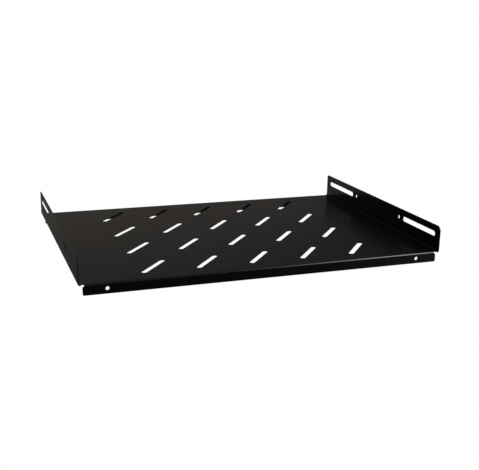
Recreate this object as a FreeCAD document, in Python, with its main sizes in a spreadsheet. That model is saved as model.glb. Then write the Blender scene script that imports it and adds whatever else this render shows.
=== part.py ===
import FreeCAD, Part
import math
import os
import Sketcher

# Fixed rack shelf for a 19 inch cabinet, folded from one steel sheet.
#
# A flat deck carries the equipment and is cut with slanted ventilation slots. The two side
# walls are folded up from it and bolt to the four uprights of the cabinet through slotted
# holes. The front and the rear lip are folded down and stiffen the deck. A round relief at
# each corner parts the end of a lip from the side fold beside it.
#
# Millimetres, +X to the right, +Y to the rear, +Z up. The shelf's origin is midway along its
# width and depth, at the height of the lowest edge, on which it stands when it lies on a table.
# The sketches are drawn in the body's own frame, where Z = 0 is the top of the deck.

SIZES = {
    # the sheet and its folds
    "sheetThickness": 1.2,
    "bendRadius": 1.2,  # inside radius of all four folds
    # the deck, walls and lips
    "shelfWidth": 485.0,  # over the outer faces of the side walls
    "shelfDepth": 350.0,  # over the outer faces of the lips, and along the side walls
    "wallHeight": 35.5,  # from the underside of the deck to the top of a side wall
    "frontLipDrop": 13.6,  # from the top of the deck to the lower edge of the lip
    "rearLipDrop": 16.8,
    # the corners
    "cornerStrip": 3.0,  # flat deck between a side fold and the end of a lip
    "reliefMargin": 0.8,  # how far a corner relief reaches past the fold of the lip
    "wallFrontRound": 6.5,  # upper front corner of a side wall
    "wallRearRound": 3.2,  # upper rear corner of a side wall
    "lipRound": 1.8,  # lower corners of the lips
    # the slotted holes in the side walls, for the bolts into the uprights
    "sideSlotLength": 85.0,
    "sideSlotWidth": 7.2,
    "sideSlotEndDistance": 11.3,  # from the end of the wall to the near end of the slot
    "sideSlotTopDistance": 12.8,  # from the top of the wall to the middle of the slot
    "sideHoleGap": 11.5,  # from the far end of the slot to the middle of the round hole
    "sideHoleDiameter": 5.3,
    # the round holes near the two ends of the front lip
    "lipHoleDiameter": 4.8,
    "lipHoleSideDistance": 34.7,  # from the outer face of the side wall
    "lipHoleDrop": 7.0,  # from the top of the deck
    # the ventilation slots in the deck
    "ventLength": 58.2,
    "ventWidth": 7.2,
    "ventAngle": 49.7,  # degrees, from +X towards +Y
    "ventColumns": 5,
    "ventRows": 4,
    "ventColumnPitch": 70.5,
    "ventRowPitch": 84.0,
    "ventFrontDistance": 46.6,  # from the front of the deck to the middle of the front row
}

OUTER_RADIUS = "(Sizes.bendRadius + Sizes.sheetThickness)"
LIP_END = "(Sizes.shelfWidth / 2 - Sizes.bendRadius - Sizes.sheetThickness - Sizes.cornerStrip)"
WALL_TOP = "(Sizes.wallHeight - Sizes.sheetThickness)"
# from a lip's outer face inward, and from the top of the deck down, to the middle of the fold
FOLD_MIDDLE = "(%s - (Sizes.bendRadius + Sizes.sheetThickness / 2) * cos(45 deg))" % OUTER_RADIUS
RELIEF_RADIUS = "(%s - %s + Sizes.reliefMargin)" % (OUTER_RADIUS, FOLD_MIDDLE)
SLOT_LEVEL = "(%s - Sizes.sideSlotTopDistance)" % WALL_TOP

ORIGIN_POINT = (-1, 1)
HORIZONTAL_AXIS = -1
START = 1
END = 2
CENTRE = 3

TOUCHING = 0.001  # mm, two places or lengths closer than this are the same
LEAST_CUT = 1.0  # mm3, a pocket that removes less has missed the sheet

doc = FreeCAD.newDocument("RackShelf")


def makeSheet():
    sheet = doc.addObject("Spreadsheet::Sheet", "Sizes")
    for row, (alias, value) in enumerate(SIZES.items(), start=1):
        sheet.set("A%d" % row, alias)
        sheet.set("B%d" % row, str(value))
        sheet.setAlias("B%d" % row, alias)
    doc.recompute()
    return sheet


def value(expression):
    return float(doc.Sizes.evalExpression(expression))


def originPlane(body, role):
    return next(plane for plane in body.Origin.OriginFeatures if plane.Role == role)


def newSketch(body, name, role, offset=None):
    sketch = body.newObject("Sketcher::SketchObject", name)
    sketch.AttachmentSupport = [(originPlane(body, role), "")]
    sketch.MapMode = "FlatFace"
    if offset:
        sketch.setExpression("AttachmentOffset.Base.z", offset)
    return sketch


def dimension(sketch, name, expression, kind, *where):
    # A named dimension that follows the sheet.
    number = value(expression)
    if kind == "Angle":
        number = math.radians(number)
    index = sketch.addConstraint(Sketcher.Constraint(kind, *where, number))
    sketch.renameConstraint(index, name)
    sketch.setExpression("Constraints." + name, expression)


def drawOutline(sketch, corners):
    # A closed outline of upright and level lines. A corner (x, y, radius) with a radius is an
    # arc tangent to the two lines that meet there. Line i starts at corner i.
    count = len(corners)
    points = [FreeCAD.Vector(x, y, 0) for x, y, radius in corners]
    radii = [radius for x, y, radius in corners]
    steps = [(points[(i + 1) % count] - points[i]).normalize() for i in range(count)]
    lines = []
    arcs = {}
    for i, step in enumerate(steps):
        after = (i + 1) % count
        run = Part.LineSegment(points[i] + step * radii[i], points[after] - step * radii[after])
        lines.append(sketch.addGeometry(run))
        level = "Horizontal" if abs(step.x) > abs(step.y) else "Vertical"
        sketch.addConstraint(Sketcher.Constraint(level, lines[i]))
    for i, step in enumerate(steps):
        before = steps[i - 1]
        if not radii[i]:
            sketch.addConstraint(Sketcher.Constraint("Coincident", lines[i - 1], END, lines[i], START))
            continue
        centre = points[i] + (step - before) * radii[i]
        turnsLeft = before.cross(step).z > 0
        # a sketch arc runs anticlockwise, from the side that a left turn comes in on
        first = -step if turnsLeft else before
        angle = math.atan2(first.y, first.x)
        circle = Part.Circle(centre, FreeCAD.Vector(0, 0, 1), radii[i])
        arcs[i] = sketch.addGeometry(Part.ArcOfCircle(circle, angle, angle + math.pi / 2))
        incoming, outgoing = (START, END) if turnsLeft else (END, START)
        sketch.addConstraint(Sketcher.Constraint("Tangent", lines[i - 1], END, arcs[i], incoming))
        sketch.addConstraint(Sketcher.Constraint("Tangent", arcs[i], outgoing, lines[i], START))
    return lines, arcs


def drawSlot(sketch, x, y, length, width, angle=0.0):
    # A slot with round ends, centred on x, y. Returns its lower line and its two end arcs.
    along = FreeCAD.Vector(math.cos(angle), math.sin(angle), 0)
    across = FreeCAD.Vector(-math.sin(angle), math.cos(angle), 0)
    middle = FreeCAD.Vector(x, y, 0)
    radius = width / 2
    nearCentre = middle - along * (length / 2 - radius)
    farCentre = middle + along * (length / 2 - radius)
    lower = Part.LineSegment(nearCentre - across * radius, farCentre - across * radius)
    upper = Part.LineSegment(farCentre + across * radius, nearCentre + across * radius)
    quarter = math.pi / 2
    normal = FreeCAD.Vector(0, 0, 1)
    far = Part.ArcOfCircle(Part.Circle(farCentre, normal, radius), angle - quarter, angle + quarter)
    near = Part.ArcOfCircle(Part.Circle(nearCentre, normal, radius), angle + quarter, angle + 3 * quarter)
    ring = [sketch.addGeometry(edge) for edge in (lower, far, upper, near)]
    for edge, following in zip(ring, ring[1:] + ring[:1]):
        sketch.addConstraint(Sketcher.Constraint("Tangent", edge, END, following, START))
    lowerLine, farArc, upperLine, nearArc = ring
    sketch.addConstraint(Sketcher.Constraint("Equal", nearArc, farArc))
    return lowerLine, nearArc, farArc


def pad(body, name, sketch, length):
    # A pad to both sides of its sketch.
    feature = body.newObject("PartDesign::Pad", name)
    feature.Profile = sketch
    feature.SideType = "Symmetric"
    feature.setExpression("Length", length)
    return feature


def pocket(body, name, sketch, length=None):
    # A pocket into the sheet behind its sketch, or with no length through all of both walls.
    feature = body.newObject("PartDesign::Pocket", name)
    feature.Profile = sketch
    if length:
        feature.setExpression("Length", length)
    else:
        feature.Type = "ThroughAll"
        feature.SideType = "Symmetric"
    doc.recompute()
    return feature


def mirror(body, name, originals, role):
    feature = body.newObject("PartDesign::Mirrored", name)
    feature.Originals = originals
    feature.MirrorPlane = (originPlane(body, role), [""])
    body.Tip = feature
    doc.recompute()
    return feature


def addDeckAndLips(body):
    halfDepth = value("Sizes.shelfDepth / 2")
    thickness = value("Sizes.sheetThickness")
    inner = value("Sizes.bendRadius")
    outer = value(OUTER_RADIUS)
    frontDrop = value("Sizes.frontLipDrop")
    rearDrop = value("Sizes.rearLipDrop")

    sketch = newSketch(body, "DeckAndLipsSection", "YZ_Plane")
    lines, arcs = drawOutline(sketch, [
        (-halfDepth, -frontDrop, 0),
        (-halfDepth, 0, outer),
        (halfDepth, 0, outer),
        (halfDepth, -rearDrop, 0),
        (halfDepth - thickness, -rearDrop, 0),
        (halfDepth - thickness, -thickness, inner),
        (-halfDepth + thickness, -thickness, inner),
        (-halfDepth + thickness, -frontDrop, 0),
    ])
    frontFace, deckTop, rearFace, deckUnderside = lines[0], lines[1], lines[2], lines[5]
    sketch.addConstraint(Sketcher.Constraint("Coincident", arcs[1], CENTRE, arcs[6], CENTRE))
    sketch.addConstraint(Sketcher.Constraint("Coincident", arcs[2], CENTRE, arcs[5], CENTRE))
    sketch.addConstraint(Sketcher.Constraint("Equal", arcs[5], arcs[6]))
    sketch.addConstraint(Sketcher.Constraint("PointOnObject", deckTop, START, HORIZONTAL_AXIS))
    dimension(sketch, "thickness", "Sizes.sheetThickness",
              "DistanceY", deckUnderside, END, deckTop, START)
    dimension(sketch, "insideRadius", "Sizes.bendRadius", "Radius", arcs[5])
    dimension(sketch, "frontHalf", "Sizes.shelfDepth / 2",
              "DistanceX", frontFace, START, *ORIGIN_POINT)
    dimension(sketch, "rearHalf", "Sizes.shelfDepth / 2",
              "DistanceX", *ORIGIN_POINT, rearFace, END)
    dimension(sketch, "frontDrop", "Sizes.frontLipDrop",
              "DistanceY", frontFace, START, *ORIGIN_POINT)
    dimension(sketch, "rearDrop", "Sizes.rearLipDrop",
              "DistanceY", rearFace, END, *ORIGIN_POINT)
    pad(body, "DeckAndLips", sketch, "2 * " + LIP_END)


def addSideWalls(body):
    halfWidth = value("Sizes.shelfWidth / 2")
    lipEnd = value(LIP_END)
    thickness = value("Sizes.sheetThickness")
    inner = value("Sizes.bendRadius")
    outer = value(OUTER_RADIUS)
    wallTop = value(WALL_TOP)

    sketch = newSketch(body, "SideWallSection", "XZ_Plane")
    lines, arcs = drawOutline(sketch, [
        (-lipEnd, -thickness, 0),
        (-halfWidth, -thickness, outer),
        (-halfWidth, wallTop, 0),
        (-halfWidth + thickness, wallTop, 0),
        (-halfWidth + thickness, 0, inner),
        (-lipEnd, 0, 0),
    ])
    underside, outerFace, stripTop = lines[0], lines[1], lines[4]
    sketch.addConstraint(Sketcher.Constraint("Coincident", arcs[1], CENTRE, arcs[4], CENTRE))
    sketch.addConstraint(Sketcher.Constraint("PointOnObject", stripTop, END, HORIZONTAL_AXIS))
    dimension(sketch, "thickness", "Sizes.sheetThickness",
              "DistanceY", underside, START, stripTop, END)
    dimension(sketch, "insideRadius", "Sizes.bendRadius", "Radius", arcs[4])
    dimension(sketch, "halfWidth", "Sizes.shelfWidth / 2",
              "DistanceX", outerFace, END, *ORIGIN_POINT)
    dimension(sketch, "lipEnd", LIP_END, "DistanceX", stripTop, END, *ORIGIN_POINT)
    dimension(sketch, "wallTop", WALL_TOP, "DistanceY", *ORIGIN_POINT, outerFace, END)
    wall = pad(body, "LeftWall", sketch, "Sizes.shelfDepth")
    mirror(body, "RightWall", [wall], "YZ_Plane")


def cutCornerReliefs(body):
    # The relief is a round hole in the flat sheet, on the end of the lip's fold. Folded, it is
    # a round cut in the deck and the fold, and a half-round one below it in the lip.
    lipEnd = value(LIP_END)
    radius = value(RELIEF_RADIUS)
    foldMiddle = value(FOLD_MIDDLE)
    normal = FreeCAD.Vector(0, 0, 1)

    flat = newSketch(body, "DeckReliefOutline", "XY_Plane")
    middle = FreeCAD.Vector(-lipEnd, foldMiddle - value("Sizes.shelfDepth / 2"), 0)
    circle = flat.addGeometry(Part.Circle(middle, normal, radius))
    dimension(flat, "radius", RELIEF_RADIUS, "Radius", circle)
    dimension(flat, "fromMiddle", LIP_END, "DistanceX", circle, CENTRE, *ORIGIN_POINT)
    dimension(flat, "fromCentreline", "Sizes.shelfDepth / 2 - " + FOLD_MIDDLE,
              "DistanceY", circle, CENTRE, *ORIGIN_POINT)
    deckRelief = pocket(body, "DeckRelief", flat, OUTER_RADIUS)

    upright = newSketch(body, "LipReliefOutline", "XZ_Plane", "Sizes.shelfDepth / 2")
    middle = FreeCAD.Vector(-lipEnd, -foldMiddle, 0)
    half = Part.ArcOfCircle(Part.Circle(middle, normal, radius), -math.pi / 2, math.pi / 2)
    arc = upright.addGeometry(half)
    chord = upright.addGeometry(Part.LineSegment(half.EndPoint, half.StartPoint))
    upright.addConstraint(Sketcher.Constraint("Coincident", arc, END, chord, START))
    upright.addConstraint(Sketcher.Constraint("Coincident", chord, END, arc, START))
    upright.addConstraint(Sketcher.Constraint("Vertical", chord))
    upright.addConstraint(Sketcher.Constraint("PointOnObject", arc, CENTRE, chord))
    dimension(upright, "radius", RELIEF_RADIUS, "Radius", arc)
    dimension(upright, "fromMiddle", LIP_END, "DistanceX", arc, CENTRE, *ORIGIN_POINT)
    dimension(upright, "depth", FOLD_MIDDLE, "DistanceY", arc, CENTRE, *ORIGIN_POINT)
    lipRelief = pocket(body, "LipRelief", upright, "Sizes.sheetThickness")

    mirrorAcross = []
    for name, role in (("ToRightCorner", "YZ_Plane"), ("ToRearCorner", "XZ_Plane")):
        step = body.newObject("PartDesign::Mirrored", name)
        step.MirrorPlane = (originPlane(body, role), [""])
        mirrorAcross.append(step)
    corners = body.newObject("PartDesign::MultiTransform", "CornerReliefs")
    corners.Originals = [deckRelief, lipRelief]
    corners.Transformations = mirrorAcross
    body.Tip = corners
    doc.recompute()


def cutSideSlots(body):
    level = value(SLOT_LEVEL)
    length = value("Sizes.sideSlotLength")
    width = value("Sizes.sideSlotWidth")
    nearEnd = value("Sizes.sideSlotEndDistance - Sizes.shelfDepth / 2")
    holeCentre = nearEnd + length + value("Sizes.sideHoleGap")
    holeRadius = value("Sizes.sideHoleDiameter / 2")

    sketch = newSketch(body, "SideSlotOutline", "YZ_Plane")
    lower, nearArc, farArc = drawSlot(sketch, nearEnd + length / 2, level, length, width)
    sketch.addConstraint(Sketcher.Constraint("Horizontal", lower))
    hole = sketch.addGeometry(Part.Circle(FreeCAD.Vector(holeCentre, level, 0),
                                          FreeCAD.Vector(0, 0, 1), holeRadius))
    sketch.addConstraint(Sketcher.Constraint("Horizontal", farArc, CENTRE, hole, CENTRE))
    dimension(sketch, "endRadius", "Sizes.sideSlotWidth / 2", "Radius", nearArc)
    dimension(sketch, "centres", "Sizes.sideSlotLength - Sizes.sideSlotWidth",
              "DistanceX", nearArc, CENTRE, farArc, CENTRE)
    dimension(sketch, "nearEnd",
              "Sizes.shelfDepth / 2 - Sizes.sideSlotEndDistance - Sizes.sideSlotWidth / 2",
              "DistanceX", nearArc, CENTRE, *ORIGIN_POINT)
    dimension(sketch, "level", SLOT_LEVEL, "DistanceY", *ORIGIN_POINT, nearArc, CENTRE)
    dimension(sketch, "holeGap", "Sizes.sideHoleGap + Sizes.sideSlotWidth / 2",
              "DistanceX", farArc, CENTRE, hole, CENTRE)
    dimension(sketch, "holeRadius", "Sizes.sideHoleDiameter / 2", "Radius", hole)
    frontSlots = pocket(body, "FrontSideSlots", sketch)
    mirror(body, "RearSideSlots", [frontSlots], "XZ_Plane")


def cutLipHoles(body):
    fromMiddle = "Sizes.shelfWidth / 2 - Sizes.lipHoleSideDistance"
    centre = FreeCAD.Vector(-value(fromMiddle), -value("Sizes.lipHoleDrop"), 0)
    radius = value("Sizes.lipHoleDiameter / 2")

    sketch = newSketch(body, "LipHoleOutline", "XZ_Plane", "Sizes.shelfDepth / 2")
    hole = sketch.addGeometry(Part.Circle(centre, FreeCAD.Vector(0, 0, 1), radius))
    dimension(sketch, "radius", "Sizes.lipHoleDiameter / 2", "Radius", hole)
    dimension(sketch, "fromMiddle", fromMiddle, "DistanceX", hole, CENTRE, *ORIGIN_POINT)
    dimension(sketch, "drop", "Sizes.lipHoleDrop", "DistanceY", hole, CENTRE, *ORIGIN_POINT)
    leftHole = pocket(body, "LeftLipHole", sketch, "Sizes.sheetThickness")
    mirror(body, "RightLipHole", [leftHole], "YZ_Plane")


def cutVentSlots(body):
    # The front left slot of the field, then its copies to the right and to the rear.
    firstColumn = "(Sizes.ventColumns - 1) * Sizes.ventColumnPitch / 2"
    firstRow = "Sizes.shelfDepth / 2 - Sizes.ventFrontDistance"
    length = value("Sizes.ventLength")
    width = value("Sizes.ventWidth")
    angle = math.radians(value("Sizes.ventAngle"))

    sketch = newSketch(body, "VentSlotOutline", "XY_Plane")
    x = -value(firstColumn)
    y = -value(firstRow)
    lower, nearArc, farArc = drawSlot(sketch, x, y, length, width, angle)
    middle = sketch.addGeometry(Part.Point(FreeCAD.Vector(x, y, 0)), True)
    sketch.addConstraint(Sketcher.Constraint("Symmetric", nearArc, CENTRE, farArc, CENTRE, middle, START))
    dimension(sketch, "endRadius", "Sizes.ventWidth / 2", "Radius", nearArc)
    dimension(sketch, "centres", "Sizes.ventLength - Sizes.ventWidth",
              "Distance", nearArc, CENTRE, farArc, CENTRE)
    dimension(sketch, "slant", "Sizes.ventAngle", "Angle", lower)
    dimension(sketch, "firstColumn", firstColumn, "DistanceX", middle, START, *ORIGIN_POINT)
    dimension(sketch, "firstRow", firstRow, "DistanceY", middle, START, *ORIGIN_POINT)
    firstSlot = pocket(body, "FirstVentSlot", sketch, "Sizes.sheetThickness")

    field = body.newObject("PartDesign::LinearPattern", "VentSlots")
    field.Originals = [firstSlot]
    field.Direction = (sketch, ["H_Axis"])
    field.setExpression("Length", "(Sizes.ventColumns - 1) * Sizes.ventColumnPitch")
    field.setExpression("Occurrences", "Sizes.ventColumns")
    field.Direction2 = (sketch, ["V_Axis"])
    field.setExpression("Length2", "(Sizes.ventRows - 1) * Sizes.ventRowPitch")
    field.setExpression("Occurrences2", "Sizes.ventRows")
    body.Tip = field
    doc.recompute()


def roundCorners(body, name, radius, isCorner):
    # Rounds the short edges through the sheet whose middle point isCorner picks out.
    base = body.Tip
    thickness = value("Sizes.sheetThickness")
    edges = []
    for number, edge in enumerate(base.Shape.Edges, start=1):
        throughSheet = abs(edge.Length - thickness) < TOUCHING and len(edge.Vertexes) == 2
        if throughSheet and isCorner(edge.CenterOfMass):
            edges.append("Edge%d" % number)
    fillet = body.newObject("PartDesign::Fillet", name)
    fillet.Base = (base, edges)
    fillet.setExpression("Radius", radius)
    body.Tip = fillet
    doc.recompute()


def roundAllCorners(body):
    wallTop = value(WALL_TOP)
    halfDepth = value("Sizes.shelfDepth / 2")
    lipEnd = value(LIP_END)
    drops = {-1: value("Sizes.frontLipDrop"), 1: value("Sizes.rearLipDrop")}

    def onWallTop(point, end):
        return abs(point.z - wallTop) < TOUCHING and abs(point.y - end * halfDepth) < TOUCHING

    def onLipEnd(point):
        end = 1 if point.y > 0 else -1
        return abs(point.z + drops[end]) < TOUCHING and abs(abs(point.x) - lipEnd) < TOUCHING

    roundCorners(body, "WallFrontRounds", "Sizes.wallFrontRound", lambda point: onWallTop(point, -1))
    roundCorners(body, "WallRearRounds", "Sizes.wallRearRound", lambda point: onWallTop(point, 1))
    roundCorners(body, "LipRounds", "Sizes.lipRound", onLipEnd)


def makeShelf():
    body = doc.addObject("PartDesign::Body", "RackShelf")
    body.Label = "rack_shelf"
    body.setExpression("Placement.Base.z", "max(Sizes.frontLipDrop; Sizes.rearLipDrop)")
    addDeckAndLips(body)
    addSideWalls(body)
    cutCornerReliefs(body)
    cutSideSlots(body)
    cutLipHoles(body)
    cutVentSlots(body)
    roundAllCorners(body)
    return body


def removedBy(feature):
    return feature.BaseFeature.Shape.Volume - feature.Shape.Volume


def checkDocument():
    for item in doc.Objects:
        if "Invalid" in item.State or "Error" in item.State:
            raise RuntimeError("%s failed: %s" % (item.Name, item.State))
        if item.isDerivedFrom("Sketcher::SketchObject") and not item.FullyConstrained:
            raise RuntimeError("%s isn't fully constrained" % item.Name)
        if item.isDerivedFrom("PartDesign::Pocket") and removedBy(item) < LEAST_CUT:
            raise RuntimeError("%s cuts nothing" % item.Name)
        if item.isDerivedFrom("PartDesign::MultiTransform"):
            corner = sum(removedBy(original) for original in item.Originals)
            if abs(removedBy(item) - 3 * corner) > LEAST_CUT:
                raise RuntimeError("%s misses one of the other three corners" % item.Name)


def export(body):
    shape = body.Shape
    if shape.isNull() or not shape.isValid() or len(shape.Solids) != 1:
        raise RuntimeError("%s isn't one valid solid" % body.Label)
    os.makedirs("parts", exist_ok=True)
    shape.exportStep("parts/%s.step" % body.Label)
    box = shape.BoundBox
    print("%s: %.2f x %.2f x %.2f mm, %.0f mm3" % (
        body.Label, box.XLength, box.YLength, box.ZLength, shape.Volume))


makeSheet()
shelf = makeShelf()
doc.recompute()
checkDocument()
export(shelf)
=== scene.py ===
from math import cos, radians, sin

import bpy
from mathutils import Matrix, Vector

# Fixed rack shelf folded from one steel sheet and powder coated black.
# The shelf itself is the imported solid, this scene gives it its finish, the light and the camera.
# Metres, +X to the right, +Y to the rear, +Z up, and the lowest edge at Z = 0.

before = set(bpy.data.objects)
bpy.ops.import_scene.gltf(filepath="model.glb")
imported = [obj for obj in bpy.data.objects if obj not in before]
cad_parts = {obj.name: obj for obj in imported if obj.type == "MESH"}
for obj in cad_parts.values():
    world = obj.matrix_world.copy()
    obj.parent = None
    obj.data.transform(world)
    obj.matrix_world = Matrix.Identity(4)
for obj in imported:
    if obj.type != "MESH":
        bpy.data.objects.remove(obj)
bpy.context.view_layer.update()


def hexColour(text):
    # sRGB hex to the linear colour that the shader wants
    linear = []
    for start in (0, 2, 4):
        part = int(text[start:start + 2], 16) / 255
        linear.append(part / 12.92 if part <= 0.04045 else ((part + 0.055) / 1.055) ** 2.4)
    return (*linear, 1.0)


def addNode(tree, kind, settings=None, links=None):
    # settings: attributes, or sockets by name or number
    # links: a socket's name or number, and the other node's output that goes there
    node = tree.nodes.new(kind)
    for name, value in (settings or {}).items():
        if isinstance(name, int) or name in node.inputs:
            node.inputs[name].default_value = value
        else:
            setattr(node, name, value)
    for name, output in (links or {}).items():
        tree.links.new(output, node.inputs[name])
    return node


# the powder coat on the whole shelf

powderCoat = {
    "black": "100f0f",
    "blackThin": "0c0c0c",      # where the coat lies a little thinner
    "thinUpTo": 0.35,           # the clouds' level up to which the coat is thin
    "fullFrom": 0.65,
    "refraction": 1.5,          # polyester resin
    "roughness": 0.24,
    "roughnessSpread": 0.02,
    "smoothUpTo": 0.3,          # the clouds' level up to which it is smoothest
    "roughFrom": 0.7,
    "cloudSize": 0.045,         # metres, soft patches left by the spray gun's passes
    "cloudDetail": 3.0,
    "peelSize": 0.0022,         # metres from one bump of the orange peel to the next
    "peelHeight": 0.000008,     # metres
    "grainSize": 0.0006,        # a real grain is 0.05 mm, drawn coarser so that it shows
    "grainHeight": 0.000003,
    "bumpDetail": 1.0,          # of the peel and of the grain
}


def makePowderCoat():
    # Black polyester powder, sprayed on and baked. It is semi-matt: the wall is mirrored in the
    # deck as a dark blur, and a fine orange peel breaks up the shine along the folds.
    material = bpy.data.materials.new("powder-coated steel, semi-matt black")
    material.use_nodes = True
    tree = material.node_tree
    tree.nodes.clear()
    place = addNode(tree, "ShaderNodeTexCoord").outputs["Object"]

    # thinner and thicker coat
    clouds = addNode(tree, "ShaderNodeTexNoise", {
        "Scale": 1 / powderCoat["cloudSize"],
        "Detail": powderCoat["cloudDetail"],
    }, {"Vector": place})
    colour = addNode(tree, "ShaderNodeValToRGB", links={"Fac": clouds.outputs["Fac"]})
    thin, full = colour.color_ramp.elements
    thin.position = powderCoat["thinUpTo"]
    thin.color = hexColour(powderCoat["blackThin"])
    full.position = powderCoat["fullFrom"]
    full.color = hexColour(powderCoat["black"])
    roughness = addNode(tree, "ShaderNodeMapRange", {
        "From Min": powderCoat["smoothUpTo"],
        "From Max": powderCoat["roughFrom"],
        "To Min": powderCoat["roughness"] - powderCoat["roughnessSpread"],
        "To Max": powderCoat["roughness"] + powderCoat["roughnessSpread"],
    }, {"Value": clouds.outputs["Fac"]})

    # orange peel over the powder's own grain
    grain = addNode(tree, "ShaderNodeTexNoise", {
        "Scale": 1 / powderCoat["grainSize"],
        "Detail": powderCoat["bumpDetail"],
    }, {"Vector": place})
    peel = addNode(tree, "ShaderNodeTexNoise", {
        "Scale": 1 / powderCoat["peelSize"],
        "Detail": powderCoat["bumpDetail"],
    }, {"Vector": place})
    grainBump = addNode(tree, "ShaderNodeBump", {"Distance": powderCoat["grainHeight"]},
                        {"Height": grain.outputs["Fac"]})
    peelBump = addNode(tree, "ShaderNodeBump", {"Distance": powderCoat["peelHeight"]},
                       {"Height": peel.outputs["Fac"], "Normal": grainBump.outputs["Normal"]})

    coat = addNode(tree, "ShaderNodeBsdfPrincipled", {"IOR": powderCoat["refraction"]}, {
        "Base Color": colour.outputs["Color"],
        "Roughness": roughness.outputs["Result"],
        "Normal": peelBump.outputs["Normal"],
    })
    addNode(tree, "ShaderNodeOutputMaterial", links={"Surface": coat.outputs["BSDF"]})
    return material


def finishShelf():
    coat = makePowderCoat()
    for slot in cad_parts["rack_shelf"].material_slots:
        slot.material = coat


# the white table and the white wall behind it

studio = {
    "tableSize": 60.0,
    "tableGlow": 1.0,           # a lit white table, as bright as the wall behind, with no horizon
    "wallRadius": 25.0,
    "wallSegments": 48,
    "wallRings": 24,
    "wallGlow": 1.0,
}


def makeGlow(name, strength):
    material = bpy.data.materials.new(name)
    material.use_nodes = True
    tree = material.node_tree
    tree.nodes.clear()
    glow = addNode(tree, "ShaderNodeEmission",
                   {"Color": hexColour("ffffff"), "Strength": strength})
    addNode(tree, "ShaderNodeOutputMaterial", links={"Surface": glow.outputs["Emission"]})
    return material


def addStage(name, material):
    # Seen by the camera only, so that the black shelf mirrors the room's lamps and no white ground
    stage = bpy.context.object
    stage.name = name
    stage.data.materials.append(material)
    stage.visible_glossy = False
    stage.visible_diffuse = False
    stage.visible_shadow = False


def layGround():
    bpy.ops.object.select_all(action="DESELECT")
    bpy.ops.mesh.primitive_plane_add(size=studio["tableSize"], location=(0, 0, 0))
    addStage("floor", makeGlow("lit white table", studio["tableGlow"]))
    bpy.ops.mesh.primitive_uv_sphere_add(
        radius=studio["wallRadius"],
        segments=studio["wallSegments"], ring_count=studio["wallRings"])
    addStage("backdrop", makeGlow("lit white wall", studio["wallGlow"]))


# what the black coat mirrors
# Heights are the sine of the angle above the shelf. Where a part of the room ends is the cosine
# of the angle away from the middle of the rear wall.

room = {
    "dim": "2a2a2d",
    "rearWall": {               # a height, and the colour there
        -0.35: "3f3d3a",
        -0.15: "74706b",
        0.27: "706a64",
        0.52: "2a2a2d",
    },
    "wallLean": 0.20,           # how much lower its light ends on the right
    "wallSide": 2.0,            # degrees right of straight to the rear, the middle of the wall
    "wallFrom": 0.74,           # where it fades out
    "otherWalls": "6e6c69",     # the walls in front and at the sides, and the ceiling
    "otherFrom": 0.45,          # where they begin
    "otherFull": 0.10,          # where they are fully lit
    "otherRise": 0.20,          # the height where they are fully lit
    "ceilingFrom": 0.46,        # the height where the ceiling begins
    "ceilingFull": 0.66,
    "table": "7a7671",          # the table beside the shelf
    "tableFrom": 0.37,          # where the table begins, as the sine of the angle to the side
    "tableFull": 0.42,
    "tableSplay": 0.1,          # how much sooner it begins towards the rear
    "tableDepth": -0.2,         # the height, below the shelf, where the table is fully lit
}


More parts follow.
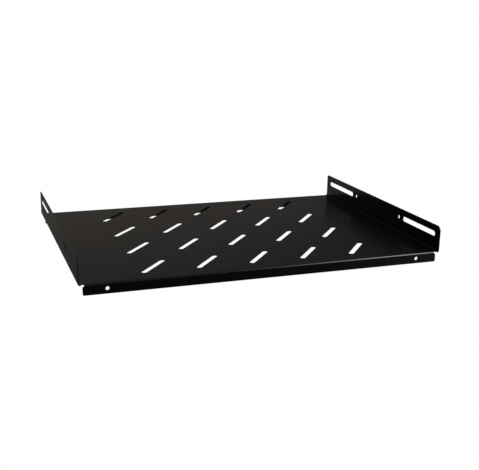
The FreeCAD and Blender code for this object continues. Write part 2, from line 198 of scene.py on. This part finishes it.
def lightRoom():
    world = bpy.data.worlds.new("studio room")
    bpy.context.scene.world = world
    world.use_nodes = True
    tree = world.node_tree
    tree.nodes.clear()
    way = addNode(tree, "ShaderNodeTexCoord").outputs["Generated"]
    axes = addNode(tree, "ShaderNodeSeparateXYZ", links={"Vector": way})

    # the rear wall, level by level, fading to the sides
    side = radians(room["wallSide"])
    rearward = addNode(tree, "ShaderNodeVectorMath",
                       {"operation": "DOT_PRODUCT", 1: (sin(side), cos(side), 0)}, {0: way})
    onWall = addNode(tree, "ShaderNodeMapRange",
                     {"interpolation_type": "SMOOTHSTEP", "From Min": room["wallFrom"]},
                     {"Value": rearward.outputs["Value"]})
    upward = addNode(tree, "ShaderNodeVectorMath",
                     {"operation": "DOT_PRODUCT", 1: (room["wallLean"], 0, 1)}, {0: way})
    # the ramp's ends are straight down and straight up
    height = addNode(tree, "ShaderNodeMapRange", {"From Min": -1.0, "From Max": 1.0},
                     {"Value": upward.outputs["Value"]})
    wall = addNode(tree, "ShaderNodeValToRGB", links={"Fac": height.outputs["Result"]})
    stops = wall.color_ramp.elements
    while len(stops) < len(room["rearWall"]):
        stops.new(1.0)
    for stop, (level, colour) in zip(stops, room["rearWall"].items()):
        stop.position = (level + 1) / 2
        stop.color = hexColour(colour)

    # the other walls and the ceiling, which light the sides that the camera doesn't see
    around = addNode(tree, "ShaderNodeMapRange", {
        "interpolation_type": "SMOOTHSTEP",
        "From Min": room["otherFrom"],
        "From Max": room["otherFull"],
    }, {"Value": rearward.outputs["Value"]})
    above = addNode(tree, "ShaderNodeMapRange",
                    {"interpolation_type": "SMOOTHSTEP", "From Max": room["otherRise"]},
                    {"Value": axes.outputs["Z"]})
    onOther = addNode(tree, "ShaderNodeMath", {"operation": "MULTIPLY"},
                      {0: around.outputs["Result"], 1: above.outputs["Result"]})
    overhead = addNode(tree, "ShaderNodeMapRange", {
        "interpolation_type": "SMOOTHSTEP",
        "From Min": room["ceilingFrom"],
        "From Max": room["ceilingFull"],
    }, {"Value": axes.outputs["Z"]})
    lit = addNode(tree, "ShaderNodeMath", {"operation": "MAXIMUM"},
                  {0: onOther.outputs["Value"], 1: overhead.outputs["Result"]})

    # a Mix node of colours takes its two colours at 6 and 7, and gives the result at 2
    otherLight = addNode(tree, "ShaderNodeMix", {
        "data_type": "RGBA",
        6: hexColour(room["dim"]),
        7: hexColour(room["otherWalls"]),
    }, {0: lit.outputs["Value"]})
    roomLight = addNode(tree, "ShaderNodeMix", {"data_type": "RGBA"}, {
        0: onWall.outputs["Result"],
        6: otherLight.outputs[2],
        7: wall.outputs["Color"],
    })

    # the table on both sides
    sideways = addNode(tree, "ShaderNodeMath", {"operation": "ABSOLUTE"},
                       {0: axes.outputs["X"]})
    splayed = addNode(tree, "ShaderNodeMath",
                      {"operation": "MULTIPLY_ADD", 1: room["tableSplay"]},
                      {0: axes.outputs["Y"], 2: sideways.outputs["Value"]})
    beside = addNode(tree, "ShaderNodeMapRange", {
        "interpolation_type": "SMOOTHSTEP",
        "From Min": room["tableFrom"],
        "From Max": room["tableFull"],
    }, {"Value": splayed.outputs["Value"]})
    below = addNode(tree, "ShaderNodeMapRange", {
        "interpolation_type": "SMOOTHSTEP",
        "From Min": 0.0,
        "From Max": room["tableDepth"],
    }, {"Value": axes.outputs["Z"]})
    onTable = addNode(tree, "ShaderNodeMath", {"operation": "MULTIPLY"},
                      {0: beside.outputs["Result"], 1: below.outputs["Result"]})

    wallLight = addNode(tree, "ShaderNodeBackground", links={"Color": roomLight.outputs[2]})
    tableLight = addNode(tree, "ShaderNodeBackground", {"Color": hexColour(room["table"])})
    both = addNode(tree, "ShaderNodeMixShader", links={
        "Fac": onTable.outputs["Value"],
        1: wallLight.outputs["Background"],
        2: tableLight.outputs["Background"],
    })
    addNode(tree, "ShaderNodeOutputWorld", links={"Surface": both.outputs["Shader"]})


# the lamp that draws the shine along the front fold

softbox = {
    "place": (0.88, -0.72, 1.00),
    "width": 0.45,              # metres, left to right
    "length": 1.30,             # front to rear
    "power": 13.0,
    "turn": 52.0,               # degrees, its left side drawn to the front
    "colour": "f4f6ff",
}


def hangSoftbox():
    bpy.ops.object.light_add(type="AREA", location=softbox["place"])
    lamp = bpy.context.object
    lamp.name = "overhead softbox"
    lamp.data.shape = "RECTANGLE"
    lamp.data.size = softbox["width"]
    lamp.data.size_y = softbox["length"]
    lamp.data.energy = softbox["power"]
    lamp.data.color = hexColour(softbox["colour"])[:3]
    # a lamp shines along its own -Z, here towards the middle of the shelf
    aim = Vector(softbox["place"]).to_track_quat("Z", "Y").to_matrix()
    lamp.rotation_euler = (aim @ Matrix.Rotation(-radians(softbox["turn"]), 3, "Z")).to_euler()
    lamp.visible_camera = False


# the camera

view = {
    "place": (-0.3787, -1.0994, 0.3414),
    "turnRight": 19.893,        # degrees, from straight to the rear
    "tiltDown": 15.856,
    "roll": 1.096,
    "lens": 62.82,              # millimetres
    "sensor": 36.0,             # millimetres wide
}


def setCamera():
    bpy.ops.object.camera_add(location=view["place"])
    camera = bpy.context.object
    turn = Matrix.Rotation(-radians(view["turnRight"]), 3, "Z")
    tilt = Matrix.Rotation(radians(90 - view["tiltDown"]), 3, "X")
    roll = Matrix.Rotation(radians(view["roll"]), 3, "Z")
    camera.rotation_euler = (turn @ tilt @ roll).to_euler()
    camera.data.lens = view["lens"]
    camera.data.sensor_width = view["sensor"]
    bpy.context.scene.camera = camera


finishShelf()
print("shelf coated")
layGround()
lightRoom()
hangSoftbox()
print("studio lit")
setCamera()
bpy.context.scene.view_settings.view_transform = "Standard"
print("camera set")
